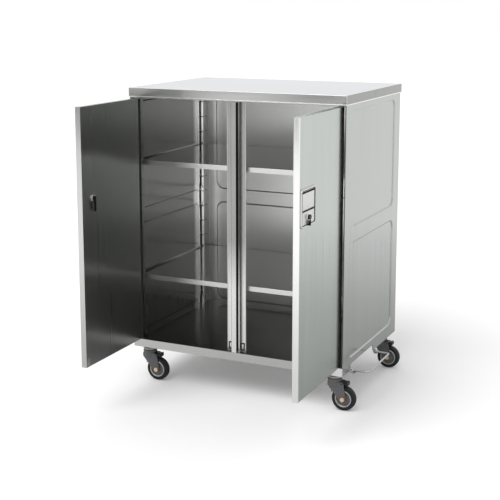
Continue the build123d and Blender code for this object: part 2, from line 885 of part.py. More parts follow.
eye_radius = loop_rod + eye_wall
with BuildPart() as tow_loop_eyes:
    for bend_y, outward in ((loop_near, -1), (loop_far, 1)):
        low_y = bend_y + outward * loop_tail
        near_y = low_y - outward * eye_length
        stop_y = bend_y - outward * loop_rod
        eye = disc(upright(max(low_y, near_y)), (loop_x, base_z), eye_radius)
        extrude(eye, amount=eye_length)
        foot = rect(
            sidewall(side_x),
            (low_y, base_z - eye_radius),
            (near_y, base_z + eye_plate_height),
        )
        extrude(foot, amount=eye_plate)
        stay = rect(level(base_z), (side_x, low_y), (loop_x, near_y))
        extrude(stay, amount=eye_radius)
        stop_top = base_z - loop_rod - eye_gap
        stop = rect(level(stop_top), (loop_x, low_y), (loop_x + stop_reach, stop_y))
        extrude(stop, amount=-stop_height)
        bore = disc(upright(max(low_y, near_y)), (loop_x, base_z), loop_rod + running_fit)
        extrude(bore, amount=eye_length, mode=Mode.SUBTRACT)
save(tow_loop_eyes.part, "tow_loop_eyes")
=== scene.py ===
import bpy
import bmesh
import math
from mathutils import Matrix, Vector


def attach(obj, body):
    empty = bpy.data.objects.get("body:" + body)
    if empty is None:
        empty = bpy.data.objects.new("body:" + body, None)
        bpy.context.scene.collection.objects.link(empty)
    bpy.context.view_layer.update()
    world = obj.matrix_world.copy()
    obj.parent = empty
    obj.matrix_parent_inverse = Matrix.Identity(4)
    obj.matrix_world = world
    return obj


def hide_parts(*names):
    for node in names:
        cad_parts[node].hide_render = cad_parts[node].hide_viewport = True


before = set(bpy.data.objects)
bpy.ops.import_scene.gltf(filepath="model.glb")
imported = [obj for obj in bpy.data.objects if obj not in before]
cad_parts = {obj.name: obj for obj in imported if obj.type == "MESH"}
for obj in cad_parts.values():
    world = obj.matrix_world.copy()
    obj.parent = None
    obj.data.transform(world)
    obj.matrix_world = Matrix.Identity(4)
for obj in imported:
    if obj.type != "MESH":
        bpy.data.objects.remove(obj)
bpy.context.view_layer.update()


# Cabinet floor: a folded stainless pan whose front edge makes the rail under the doors. Two heavier
# channels are welded under it for the casters. The sheet is brushed from side to side, with painted
# shade darkening the floor inside and a painted highlight at the rail's right end.
def dress(material, *names):
    """Gives CAD pieces a finish."""
    for name in names:
        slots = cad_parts[name].data.materials
        slots.clear()
        slots.append(material)


def new_material(name, colour, metallic, roughness):
    """A material with its surface shader, ready for its texture."""
    material = bpy.data.materials.new(name)
    material.use_nodes = True
    shader = material.node_tree.nodes["Principled BSDF"]
    shader.inputs["Base Color"].default_value = (*colour, 1)
    shader.inputs["Metallic"].default_value = metallic
    shader.inputs["Roughness"].default_value = roughness
    return material, shader


def noise(material, scale, detail, stretch=(1, 1, 1)):
    """Noise on the piece's own place, drawn out along its grain."""
    nodes, links = material.node_tree.nodes, material.node_tree.links
    place = nodes.new("ShaderNodeTexCoord")
    grain = nodes.new("ShaderNodeMapping")
    grain.inputs["Scale"].default_value = stretch
    pattern = nodes.new("ShaderNodeTexNoise")
    pattern.inputs["Scale"].default_value = scale
    pattern.inputs["Detail"].default_value = detail
    links.new(place.outputs["Object"], grain.inputs["Vector"])
    links.new(grain.outputs["Vector"], pattern.inputs["Vector"])
    return pattern.outputs["Fac"]


def spread(material, value, low, high, start=0.3, end=0.7):
    """Turns a noise or a place into a number between two limits."""
    nodes, links = material.node_tree.nodes, material.node_tree.links
    limits = nodes.new("ShaderNodeMapRange")
    limits.inputs["From Min"].default_value = start
    limits.inputs["From Max"].default_value = end
    limits.inputs["To Min"].default_value = low
    limits.inputs["To Max"].default_value = high
    links.new(value, limits.inputs["Value"])
    return limits.outputs["Result"]


def tint(material, shader, value, dark, light):
    """Varies the shader's colour with a noise."""
    nodes, links = material.node_tree.nodes, material.node_tree.links
    ramp = nodes.new("ShaderNodeValToRGB")
    ramp.color_ramp.elements[0].position = 0.3
    ramp.color_ramp.elements[0].color = (*dark, 1)
    ramp.color_ramp.elements[1].position = 0.7
    ramp.color_ramp.elements[1].color = (*light, 1)
    links.new(value, ramp.inputs["Fac"])
    links.new(ramp.outputs["Color"], shader.inputs["Base Color"])


def relief(material, shader, value, depth, strength):
    """Raises and sinks the surface a little with a noise."""
    nodes, links = material.node_tree.nodes, material.node_tree.links
    bump = nodes.new("ShaderNodeBump")
    bump.inputs["Distance"].default_value = depth
    bump.inputs["Strength"].default_value = strength
    links.new(value, bump.inputs["Height"])
    links.new(bump.outputs["Normal"], shader.inputs["Normal"])


def brushed_steel(name, colour, along, shine, lift=0.10, spin_axis="", streak=1.0):
    """Stainless sheet with fine brush lines along X, Y or Z and broad streaks between them."""
    line_along, line_across, line_depth = 3.0, 700.0, 0.0003
    streak_along, streak_across = 1.1, 38.0
    material, shader = new_material(name, colour, 1.0, shine)
    shader.inputs["Anisotropic"].default_value = 0.55
    fine = tuple(line_along if axis == along else line_across for axis in "XYZ")
    broad = tuple(streak_along if axis == along else streak_across for axis in "XYZ")
    lines = noise(material, 1.0, 3.0, fine)
    streaks = noise(material, 1.0, 4.0, broad)
    darker, paler, smoother, rougher = 0.07 * streak, 0.05 * streak, 0.20 * streak, 0.25 * streak
    dark = [part * (1 - darker) for part in colour]
    light = [min(part * (1 + paler), 1) for part in colour]
    tint(material, shader, streaks, dark, light)
    rough = spread(material, streaks, shine * (1 - smoother), shine * (1 + rougher))
    material.node_tree.links.new(rough, shader.inputs["Roughness"])
    relief(material, shader, lines, line_depth, lift)
    if spin_axis:
        tangent = material.node_tree.nodes.new("ShaderNodeTangent")
        tangent.direction_type = "RADIAL"
        tangent.axis = spin_axis
        material.node_tree.links.new(tangent.outputs["Tangent"], shader.inputs["Tangent"])
    return material


def place_along(material, axis):
    """Gives the place on the piece along one of its axes."""
    nodes, links = material.node_tree.nodes, material.node_tree.links
    place = nodes.new("ShaderNodeTexCoord")
    split = nodes.new("ShaderNodeSeparateXYZ")
    links.new(place.outputs["Object"], split.inputs["Vector"])
    return split.outputs[axis]


def mixed(material, share, first, last):
    """Mixes two colours by a share. Each is a plain colour or comes from other nodes."""
    nodes, links = material.node_tree.nodes, material.node_tree.links
    mix = nodes.new("ShaderNodeMix")
    mix.data_type = "RGBA"
    links.new(share, mix.inputs["Factor"])
    for entry, colour in ((mix.inputs[6], first), (mix.inputs[7], last)):
        if isinstance(colour, tuple):
            entry.default_value = (*colour, 1)
        else:
            links.new(colour, entry)
    return mix.outputs[2]


def fade(material, axis, start, end, first, last):
    """Gives a colour that passes from one to another along one axis of the piece."""
    share = spread(material, place_along(material, axis), 0.0, 1.0, start, end)
    return mixed(material, share, first, last)


def shade_beyond(material, axis, start, end, colour):
    """Changes a steel's colour past a place along one axis of the piece; most uses paint light or shade
    into it.
    """
    base = material.node_tree.nodes["Principled BSDF"].inputs["Base Color"]
    shaded = fade(material, axis, start, end, base.links[0].from_socket, colour)
    material.node_tree.links.new(shaded, base)


# Painted highlight at the rail's right end, and painted shade on the floor inside.
painted_rail_highlight_tone, rail_end_start, rail_end_full = (0.96, 0.96, 0.95), 0.420, 0.445
painted_floor_shade_tone, floor_start, floor_full = (0.20, 0.20, 0.19), 0.1885, 0.1895
floor_steel = brushed_steel("floor_steel", (0.66, 0.66, 0.65), "X", 0.24, 0.004, streak=0.2)
shade_beyond(floor_steel, "X", rail_end_start, rail_end_full, painted_rail_highlight_tone)
shade_beyond(floor_steel, "Z", floor_start, floor_full, painted_floor_shade_tone)
dress(floor_steel, "base_pan")
channel_steel = brushed_steel("channel_steel", (0.52, 0.52, 0.51), "X", 0.30, 0.02)
dress(channel_steel, "caster_channels")


# Side and back panels: thin stainless sheet, pressed with two shallow fields each to stiffen it and
# brushed from top to bottom. Their inner faces carry painted light: painted shade on the sides, with a
# painted highlight on a strip near the back, and the back painted near white.
def shade_inside(material, axis, colour):
    """Paints light or shade into a steel's colour on the faces that look in towards the middle."""
    margin = 0.1
    nodes, links = material.node_tree.nodes, material.node_tree.links
    place = nodes.new("ShaderNodeTexCoord")
    facing = nodes.new("ShaderNodeVectorMath")
    facing.operation = "MULTIPLY"
    links.new(place.outputs["Object"], facing.inputs[0])
    links.new(place.outputs["Normal"], facing.inputs[1])
    split = nodes.new("ShaderNodeSeparateXYZ")
    links.new(facing.outputs["Vector"], split.inputs["Vector"])
    inward = spread(material, split.outputs[axis], 0.0, 1.0, margin, -margin)
    base = nodes["Principled BSDF"].inputs["Base Color"]
    links.new(mixed(material, inward, base.links[0].from_socket, colour), base)


# Painted shade on the side panels' inner faces, with a painted highlight on a strip near the back.
painted_wall_shade_tone, painted_wall_rear_highlight_tone = (0.28, 0.28, 0.27), (0.92, 0.92, 0.91)
wall_rear_start, wall_rear_full = 0.205, 0.235
wall_steel = brushed_steel("wall_steel", (0.414, 0.434, 0.418), "Z", 0.18, 0.05)
painted_wall_light_fade = fade(wall_steel, "Y", wall_rear_start, wall_rear_full, painted_wall_shade_tone, painted_wall_rear_highlight_tone)
shade_inside(wall_steel, "X", painted_wall_light_fade)
dress(wall_steel, "left_side_panel", "right_side_panel")
back_steel = brushed_steel("back_steel", (0.46, 0.47, 0.46), "Z", 0.30, 0.004, streak=0.2)
# The back panel's inner face is painted near white as painted light.
shade_inside(back_steel, "Y", (0.97, 0.98, 0.97))
dress(back_steel, "back_panel")


# Header and mullion: a folded stainless channel behind the worktop's lip, and a hat section spot welded
# between it and the floor pan. A black strip on each side of the mullion's rib is painted shade for the
# shadow beside the rib, and the mullion's flanges end in a rolled edge painted near white as a painted
# highlight. The mullion has painted shade at mid height and a painted reflection, near white, at its foot.
def moulded(name, colour, roughness, grain, strength, gloss=0.5, metallic=0.0, detail=2.0, depth=0.0001):
    """Rubber, plastic or paint with a fine even grain."""
    material, shader = new_material(name, colour, metallic, roughness)
    shader.inputs["Specular IOR Level"].default_value = gloss
    relief(material, shader, noise(material, grain, detail), depth, strength)
    return material


def block(shape, corner, opposite):
    """Adds a box between two opposite corners to a bmesh and gives its vertices."""
    verts = bmesh.ops.create_cube(shape, size=1)["verts"]
    size = [abs(end - start) for start, end in zip(corner, opposite)]
    middle = (Vector(corner) + Vector(opposite)) / 2
    bmesh.ops.transform(shape, verts=verts, matrix=Matrix.Translation(middle) @ Matrix.Diagonal((*size, 1)))
    return verts


def runs_along(edge, axis):
    """Says whether an edge goes some way along an axis, 0 for X to 2 for Z."""
    shortest = 0.0015
    one, other = edge.verts
    return abs(one.co[axis] - other.co[axis]) > shortest


def round_edges(shape, edges, offset, segments):
    """Rounds the given edges of a bmesh."""
    bmesh.ops.bevel(shape, geom=edges, offset=offset, affect="EDGES", segments=segments, profile=0.5,
                    material=-1, clamp_overlap=True)


def finish_piece(name, shape, material, body):
    """Turns a bmesh into a piece that moves with its body."""
    bmesh.ops.recalc_face_normals(shape, faces=shape.faces)
    mesh = bpy.data.meshes.new(name)
    shape.to_mesh(mesh)
    shape.free()
    mesh.shade_smooth()
    mesh.set_sharp_from_angle(angle=math.radians(35))
    mesh.materials.append(material)
    piece = bpy.data.objects.new(name, mesh)
    bpy.context.scene.collection.objects.link(piece)
    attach(piece, body)
    return piece


# Painted shade on the mullion at mid height, and a painted reflection, near white, at its foot.
painted_frame_middle_shade_tone, frame_middle_start, frame_middle_full = (0.38, 0.38, 0.37), 1.15, 1.02
painted_frame_foot_reflection_tone, frame_foot_start, frame_foot_full = (0.95, 0.95, 0.94), 0.66, 0.44
frame_steel = brushed_steel("frame_steel", (0.49, 0.49, 0.48), "Z", 0.24)
shade_beyond(frame_steel, "Z", frame_middle_start, frame_middle_full, painted_frame_middle_shade_tone)
shade_beyond(frame_steel, "Z", frame_foot_start, frame_foot_full, painted_frame_foot_reflection_tone)
dress(frame_steel, "header_rail", "mullion")
# The flange beads are painted near white as a painted highlight.
highlight_bead_steel = brushed_steel("highlight_bead_steel", (0.90, 0.90, 0.89), "Z", 0.30, 0.02)
# Black for painted shade at the rib strips, rim beads and flap knuckles, and the turn grips' own black.
black_and_painted_shade = moulded("black_and_painted_shade", (0.006, 0.006, 0.006), 0.7, 800.0, 0.3, gloss=0.15)
# The black strips on the rib's sides are painted shade for the shadow beside the rib.
shade_strip_in, shade_strip_out, shade_strip_front, shade_strip_back, shade_strip_rounding = 0.0104, 0.0115, -0.3400, -0.3195, 0.0004
bead_in, bead_out, bead_front, bead_back, bead_rounding = 0.0402, 0.0427, -0.3130, -0.3108, 0.0008
strip_low, strip_high = 0.193, 1.230
shade_strips = bmesh.new()
beads = bmesh.new()
for sign in (-1, 1):
    block(shade_strips, (sign * shade_strip_in, shade_strip_front, strip_low), (sign * shade_strip_out, shade_strip_back, strip_high))
    block(beads, (sign * bead_in, bead_front, strip_low), (sign * bead_out, bead_back, strip_high))
for strip, rounding in ((shade_strips, shade_strip_rounding), (beads, bead_rounding)):
    round_edges(strip, [e for e in strip.edges if runs_along(e, 2)], rounding, 3)
finish_piece("rib_shade_strips", shade_strips, black_and_painted_shade, "cabinet")
finish_piece("flange_beads", beads, highlight_bead_steel, "cabinet")


# Corner posts: folded steel channels with a ladder of slots for the zinc-plated shelf clips. The fold at
# the front of each rear post is a rounded nose, painted near white as a painted highlight, cut across at
# every slot.
def edges_of(verts):
    """Gives the edges that meet at some vertices, each once."""
    return list(dict.fromkeys(edge for vert in verts for edge in vert.link_edges))


def lies_at(part, axis, place):
    """Says whether a whole edge or face lies at a place along an axis, 0 for X to 2 for Z."""
    hair = 0.0001
    return all(abs(vert.co[axis] - place) < hair for vert in part.verts)


def mottled(name, colour, metallic, roughness, grain, dark, light):
    """Plated metal with a faint mottle."""
    material, shader = new_material(name, colour, metallic, roughness)
    tint(material, shader, noise(material, grain, 3.0), dark, light)
    return material


def zinc_plate(name):
    """Steel with a dull zinc plating."""
    return mottled(name, (0.50, 0.51, 0.52), 1.0, 0.34, 160.0, (0.42, 0.43, 0.44), (0.56, 0.57, 0.58))


post_steel = brushed_steel("post_steel", (0.34, 0.34, 0.34), "Z", 0.30, 0.05)
dress(post_steel, "shelf_posts")
# The noses are painted near white as a painted highlight.
nose_highlight_steel = brushed_steel("nose_highlight_steel", (0.98, 0.98, 0.97), "Z", 0.22, 0.05)
nose_in, nose_out, nose_front, nose_back, nose_rounding = 0.4593, 0.4745, 0.2795, 0.2830, 0.0012
post_low, post_high = 0.190, 1.233
slot_first, slot_pitch, slot_count, slot_half = 0.243, 0.071, 14, 0.0025
slot_heights = [slot_first + step * slot_pitch for step in range(slot_count)]
nose_starts = [post_low] + [height + slot_half for height in slot_heights]
nose_ends = [height - slot_half for height in slot_heights] + [post_high]
for side, sign in (("left", -1), ("right", 1)):
    noses = bmesh.new()
    for low, high in zip(nose_starts, nose_ends):
        nose = block(noses, (sign * nose_in, nose_front, low), (sign * nose_out, nose_back, high))
        upright = [e for e in edges_of(nose) if runs_along(e, 2)]
        front = [e for e in upright if lies_at(e, 1, nose_front)]
        round_edges(noses, front, nose_rounding, 3)
    finish_piece(f"{side}_post_noses", noses, nose_highlight_steel, "cabinet")
zinc = zinc_plate("zinc")
dress(zinc, "shelf_clips")


# Shelves: stainless pans turned over, with polished tops and duller front lips, resting on the clips.
# Between the posts their sides run on to the walls and turn up in a low lip.
def push_out(shape, faces, run):
    """Draws faces of a bmesh out along a straight run."""
    pushed = bmesh.ops.extrude_face_region(shape, geom=faces)["geom"]
    ends = [part for part in pushed if isinstance(part, bmesh.types.BMVert)]
    bmesh.ops.translate(shape, vec=run, verts=ends)


def sharp_edges(shape):
    """Gives the edges where a bmesh turns through more than about 70 degrees."""
    sharp_turn = 1.2
    return [edge for edge in shape.edges if edge.calc_face_angle(0) > sharp_turn]


def drawn(shape, outline, run):
    """Adds a piece to a bmesh by drawing a flat outline along a straight run."""
    face = shape.faces.new([shape.verts.new(point) for point in outline])
    push_out(shape, [face], run)


shelf_shine, lip_shine, lip_start, lip_full = 0.12, 0.38, -0.2925, -0.2935
# Painted light on the front lips: a painted highlight, fading to painted shade towards the left end.
painted_lip_shade_tone, painted_lip_highlight_tone = (0.28, 0.28, 0.27), (0.86, 0.86, 0.85)
lip_left_end, lip_right_start = -0.30, -0.15
shelf_steel = brushed_steel("shelf_steel", (0.40, 0.40, 0.39), "X", shelf_shine, 0.004, streak=0.3)
painted_lip_light_fade = fade(shelf_steel, "X", lip_left_end, lip_right_start, painted_lip_shade_tone, painted_lip_highlight_tone)
shade_beyond(shelf_steel, "Y", lip_start, lip_full, painted_lip_light_fade)
shelf_tree, shelf_depth = shelf_steel.node_tree, place_along(shelf_steel, "Y")
shelf_rough = spread(shelf_steel, shelf_depth, shelf_shine, lip_shine, lip_start, lip_full)
shelf_tree.links.new(shelf_rough, shelf_tree.nodes["Principled BSDF"].inputs["Roughness"])
dress(shelf_steel, "upper_shelf", "lower_shelf")
shelf_tops = {"lower": 0.468, "upper": 0.965}
ledge_in, ledge_out, ledge_front, ledge_back = 0.4579, 0.4750, -0.2635, 0.2785
upturn_in, upturn_rise, shelf_sheet, fold_rounding = 0.4738, 0.0062, 0.0012, 0.0004
fold = [(ledge_in, -shelf_sheet), (ledge_out, -shelf_sheet), (ledge_out, upturn_rise),
        (upturn_in, upturn_rise), (upturn_in, 0), (ledge_in, 0)]
for shelf, top in shelf_tops.items():
    edging = bmesh.new()
    for sign in (-1, 1):
        outline = [(sign * x, ledge_front, top + rise) for x, rise in fold]
        drawn(edging, outline, (0, ledge_back - ledge_front, 0))
    bmesh.ops.recalc_face_normals(edging, faces=edging.faces)
    round_edges(edging, sharp_edges(edging), fold_rounding, 2)
    finish_piece(f"{shelf}_shelf_edges", edging, shelf_steel, "cabinet")


# Worktop: a heavier stainless sheet with its edges folded down into a lip, whose lower edge is folded
# back on itself into a narrow hem.
def flat_ring(width, depth, corner, steps, band, rise):
    """A bmesh of a flat frame with rounded corners, centred on the origin with its foot at Z 0."""
    shape = bmesh.new()
    bmesh.ops.create_grid(shape, x_segments=1, y_segments=1, size=0.5)
    bmesh.ops.scale(shape, vec=(width, depth, 1), verts=shape.verts)
    bmesh.ops.bevel(shape, geom=shape.verts[:], offset=corner, affect="VERTICES", segments=steps,
                    profile=0.5, material=-1)
    inside = shape.faces[:]
    bmesh.ops.inset_region(shape, faces=inside, thickness=band, use_even_offset=True, use_boundary=True)
    bmesh.ops.delete(shape, geom=inside, context="FACES")
    push_out(shape, shape.faces[:], (0, 0, rise))
    return shape


# Painted shade darkens the front lip a little and the side lips more.
painted_front_lip_shade_tone, front_lip_start, front_lip_full = (0.60, 0.60, 0.59), -0.3435, -0.3445
painted_side_lip_shade_tone, side_lip_start, side_lip_full = (0.27, 0.27, 0.26), 0.4835, 0.4845
worktop_steel = brushed_steel("worktop_steel", (0.66, 0.675, 0.69), "X", 0.20, 0.03, "X")
shade_beyond(worktop_steel, "Y", front_lip_start, front_lip_full, painted_front_lip_shade_tone)
for sign in (1, -1):
    shade_beyond(worktop_steel, "X", sign * side_lip_start, sign * side_lip_full, painted_side_lip_shade_tone)
dress(worktop_steel, "top_panel")
hem_steel = brushed_steel("hem_steel", (0.80, 0.80, 0.79), "X", 0.22, 0.02)
hem_length, hem_depth, hem_width = 0.9710, 0.6910, 0.0024
hem_low, hem_height, hem_corner, hem_rounding = 1.2364, 0.0042, 0.0045, 0.0009
hem = flat_ring(hem_length, hem_depth, hem_corner, 6, hem_width, hem_height)
bmesh.ops.translate(hem, vec=(0, 0, hem_low), verts=hem.verts)
round_edges(hem, [e for e in sharp_edges(hem) if not runs_along(e, 2)], hem_rounding, 3)
finish_piece("worktop_hem", hem, hem_steel, "cabinet")

# Doors: an outer pan closed by an inner liner, hung on a round tube along the hinge edge. The tube is
# black, as painted shade for the dark gap at the hinge, and turns on a plug in a nylon bush at either end.
# The liner is painted darker than the skin, as painted shade on the door's inner face.
painted_shade_liner_steel = brushed_steel("painted_shade_liner_steel", (0.34, 0.35, 0.34), "Z", 0.28, 0.004, streak=0.15)
# The doors' free edges are painted brighter as a painted highlight, more on the right door.
painted_edge_highlight_tones = {"left": (0.62, 0.62, 0.61), "right": (0.92, 0.92, 0.91)}
edge_start, edge_full = -0.7660, -0.7672
for side, painted_edge_highlight_tone in painted_edge_highlight_tones.items():
    skin_steel = brushed_steel(f"{side}_skin_steel", (0.455, 0.484, 0.464), "Z", 0.20, 0.05)
    shade_beyond(skin_steel, "Y", edge_start, edge_full, painted_edge_highlight_tone)
    dress(skin_steel, f"{side}_door_skin")
    dress(painted_shade_liner_steel, f"{side}_door_liner")
    dress(zinc, f"{side}_pivot_plugs", f"{side}_catch_keeper")
# The hinge tubes are black as painted shade for the gap at the hinge.
painted_shade_tube_black = moulded("painted_shade_tube_black", (0.012, 0.012, 0.012), 0.6, 900.0, 0.3)
dress(painted_shade_tube_black, "left_hinge_tube", "right_hinge_tube")
nylon = moulded("nylon", (0.42, 0.42, 0.40), 0.45, 900.0, 0.3)
dress(nylon, "door_pivot_bushes")

# Flush pulls: a stainless plate with a raised rim and a black bead inside it as painted shade, and a sunk
# cup behind a hinged flap that leaves a finger gap under it. The flap turns on a pin through the knuckle
# along its upper edge, black as painted shade above the flap.
lock_steel = brushed_steel("lock_steel", (0.62, 0.62, 0.61), "Z", 0.28)
rim_steel = brushed_steel("rim_steel", (0.60, 0.60, 0.59), "Z", 0.22, 0.02)
plate_near, plate_far, plate_low, plate_high, plate_face = -0.762, -0.622, 0.834, 0.976, 0.469
rim_inset, rim_width, rim_rise, rim_corner, rim_rounding = 0.0012, 0.0060, 0.0024, 0.013, 0.0014
rim_bead_width, rim_bead_rise, rim_bead_corner, rim_bead_rounding = 0.0018, 0.0022, 0.007, 0.0006
rim_sink = 0.001
flap_near, flap_far, flap_low, flap_high = -0.7475, -0.6365, 0.897, 0.9583
flap_in, flap_out, flap_rounding = 0.4660, 0.4702, 0.0018
flap_pin_x, flap_pin_z = 0.465, 0.959
knuckle_bore, knuckle_radius, knuckle_chamfer = 0.0021, 0.0040, 0.0006
knuckle_outline = [(knuckle_bore, flap_near), (knuckle_radius - knuckle_chamfer, flap_near),
                   (knuckle_radius, flap_near + knuckle_chamfer),
                   (knuckle_radius, flap_far - knuckle_chamfer),
                   (knuckle_radius - knuckle_chamfer, flap_far), (knuckle_bore, flap_far)]
face_out = Matrix(((0, 0, 1, 0), (1, 0, 0, 0), (0, 1, 0, 0), (0, 0, 0, 1)))
plate_middle = (plate_face - rim_sink, (plate_near + plate_far) / 2, (plate_low + plate_high) / 2)


def plate_frame(margin, corner, band, rise, rounding, sign):
    """A raised frame on the left or right lock plate, a margin in from its edge and sunk in its face."""
    width = plate_far - plate_near - 2 * margin
    height = plate_high - plate_low - 2 * margin
    shape = flat_ring(width, height, corner, 8, band, rise + rim_sink)
    crown = [e for e in sharp_edges(shape) if lies_at(e, 2, rise + rim_sink)]
    round_edges(shape, crown, rounding, 4)
    stand = Matrix.Diagonal((sign, 1, 1, 1)) @ Matrix.Translation(plate_middle) @ face_out
    bmesh.ops.transform(shape, matrix=stand, verts=shape.verts)
    return shape


def turned(profile, centre, axis, steps):
    """A bmesh turned from a closed outline of (radius, along) points round an axis, X, Y or Z."""
    shape = bmesh.new()
    line = Vector([1.0 if name == axis else 0.0 for name in "XYZ"])
    out = Vector((0, 1, 0)) if axis == "X" else Vector((1, 0, 0))
    points = [shape.verts.new(Vector(centre) + out * radius + line * along) for radius, along in profile]
    for one, other in zip(points, points[1:] + points[:1]):
        shape.edges.new((one, other))
    bmesh.ops.spin(shape, geom=shape.verts[:] + shape.edges[:], cent=centre, axis=line, angle=math.tau,
                   steps=steps, use_merge=True)
    bmesh.ops.remove_doubles(shape, verts=shape.verts, dist=1e-6)
    return shape


for side, sign in (("left", -1), ("right", 1)):
    dress(lock_steel, f"{side}_lock_plate")
    dress(zinc, f"{side}_flap_pin")
    rim = plate_frame(rim_inset, rim_corner, rim_width, rim_rise, rim_rounding, sign)
    finish_piece(f"{side}_lock_rim", rim, rim_steel, f"{side}_door")
    # The bead inside the rim is black as painted shade.
    bead = plate_frame(rim_inset + rim_width, rim_bead_corner, rim_bead_width, rim_bead_rise,
                       rim_bead_rounding, sign)
    finish_piece(f"{side}_rim_bead", bead, black_and_painted_shade, f"{side}_door")

    flap = bmesh.new()
    block(flap, (flap_in, flap_near, flap_low), (flap_out, flap_far, flap_high))
    round_edges(flap, [e for e in flap.edges if lies_at(e, 0, flap_out)], flap_rounding, 4)
    bmesh.ops.transform(flap, matrix=Matrix.Diagonal((sign, 1, 1, 1)), verts=flap.verts)
    leaf = finish_piece(f"{side}_flap_leaf", flap, lock_steel, f"{side}_flap")
    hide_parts(f"{side}_pull_flap")
    # The knuckle is black as painted shade above the flap.
    knuckle = turned(knuckle_outline, (sign * flap_pin_x, 0, flap_pin_z), "Y", 32)
    finish_piece(f"{side}_flap_knuckle", knuckle, black_and_painted_shade, f"{side}_flap")

# Key locks: a bright plated barrel through each plate, a thumb turn on its plug with a black collar and
# grip, and behind the door a zinc-plated cam, near black on its inner side, that latches behind the
# mullion.
black_plastic = moulded("black_plastic", (0.018, 0.018, 0.019), 0.42, 1400.0, 0.25, gloss=0.3)
plated = mottled("plated", (0.88, 0.88, 0.89), 1.0, 0.24, 160.0, (0.84, 0.84, 0.85), (0.92, 0.92, 0.93))
key_y, key_z = -0.692, 0.868
collar_outline = [(0.0066, 0.4714), (0.0095, 0.4714), (0.0095, 0.4777), (0.0088, 0.4785),
                  (0.0072, 0.4785), (0.0066, 0.4778)]
grip_in, grip_out, grip_half, grip_low, grip_high = 0.4718, 0.4782, 0.0056, 0.8365, 0.8575
grip_corner, grip_rounding = 0.0045, 0.0016
cam_tone, cam_start, cam_full = (0.03, 0.03, 0.03), 0.4425, 0.4415


def mirrored(outline, sign):
    """Gives an outline for a turned piece, mirrored along its axis where the sign is negative."""
    return [(radius, sign * along) for radius, along in outline]


for side, sign in (("left", -1), ("right", 1)):
    dress(plated, f"{side}_lock_barrel")
    cam_steel = zinc_plate(f"{side}_cam_steel")
    shade_beyond(cam_steel, "X", sign * cam_start, sign * cam_full, cam_tone)
    dress(cam_steel, f"{side}_lock_cam")
    collar = turned(mirrored(collar_outline, sign), (0, key_y, key_z), "X", 40)
    finish_piece(f"{side}_key_collar", collar, black_plastic, f"{side}_lock")

    grip = bmesh.new()
    block(grip, (grip_in, key_y - grip_half, grip_low), (grip_out, key_y + grip_half, grip_high))
    round_edges(grip, [e for e in grip.edges if runs_along(e, 0)], grip_corner, 5)
    round_edges(grip, [e for e in grip.edges if lies_at(e, 0, grip_out)], grip_rounding, 3)
    bmesh.ops.transform(grip, matrix=Matrix.Diagonal((sign, 1, 1, 1)), verts=grip.verts)
    finish_piece(f"{side}_turn_grip", grip, black_and_painted_shade, f"{side}_lock")

# Catches: black moulded magnet holders at the foot of the mullion, each with a bright pole plate sunk
# in its face for the steel keeper on the door.
pole_steel = mottled("pole_steel", (0.80, 0.80, 0.79), 1.0, 0.25, 300.0, (0.72, 0.72, 0.71),
                     (0.86, 0.86, 0.85))
catch_reach, catch_half, catch_low, catch_high = 0.0265, 0.010, 0.195, 0.227
catch_front, catch_back, catch_corner = -0.3144, -0.3119, 0.0025
recess_margin, recess_depth = 0.0045, 0.0012
pole_half, pole_margin, pole_sink, pole_back, pole_rounding = 0.0052, 0.0048, 0.0004, 0.0020, 0.0006
holders = bmesh.new()
poles = bmesh.new()
for catch_x in (-catch_reach, catch_reach):
    holder = block(holders, (catch_x - catch_half, catch_front, catch_low),
                   (catch_x + catch_half, catch_back, catch_high))
    sides = dict.fromkeys(face for vert in holder for face in vert.link_faces)
    front = [face for face in sides if lies_at(face, 1, catch_front)]
    bmesh.ops.inset_region(holders, faces=front, thickness=recess_margin, use_even_offset=True)
    bmesh.ops.translate(holders, vec=(0, recess_depth, 0), verts=front[0].verts)
    pole = block(poles, (catch_x - pole_half, catch_front + pole_sink, catch_low + pole_margin),
                 (catch_x + pole_half, catch_front + pole_back, catch_high - pole_margin))
    pole_front = [e for e in edges_of(pole) if lies_at(e, 1, catch_front + pole_sink)]
    round_edges(poles, pole_front, pole_rounding, 2)
round_edges(holders, [e for e in holders.edges if runs_along(e, 1)], catch_corner, 4)
made = finish_piece("catch_holders", holders, black_plastic, "cabinet")
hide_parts("magnetic_catches")
finish_piece("catch_poles", poles, pole_steel, "cabinet")

# Casters: a steel plate bolted up into the cabinet's channel, a swivel head under it with a ring, a band
# and a skirt, and a moulded fork. The plate and head stay with the cabinet, and the fork turns on the
# kingpin.
caster_grey = moulded("caster_grey", (0.105, 0.106, 0.110), 0.42, 1100.0, 0.3)
# The band is paler than the ring and skirt, as a painted highlight.
band_highlight_grey = moulded("band_highlight_grey", (0.42, 0.43, 0.42), 0.35, 1100.0, 0.3, metallic=0.5)
caster_places = {"front_left": (-0.430, -0.290), "front_right": (0.430, -0.290),
                 "rear_left": (-0.430, 0.290), "rear_right": (0.430, 0.290)}
dress(caster_grey, "caster_mounts")
dress(zinc, "caster_kingpins", "caster_bolts")
head_outlines = {"head_ring": [(0.0265, 0.1585), (0.0300, 0.1585), (0.0312, 0.1570), (0.0312, 0.1460),
                               (0.0300, 0.1445), (0.0265, 0.1445)],
                 "head_band": [(0.0265, 0.1435), (0.0292, 0.1435), (0.0302, 0.1425), (0.0302, 0.1380),
                               (0.0292, 0.1370), (0.0265, 0.1370)],
                 "head_skirt": [(0.0265, 0.1335), (0.0280, 0.1335), (0.0296, 0.1320), (0.0302, 0.1290),
                                (0.0295, 0.1215), (0.0265, 0.1215)]}
head_finishes = {"head_ring": black_plastic, "head_band": band_highlight_grey, "head_skirt": caster_grey}
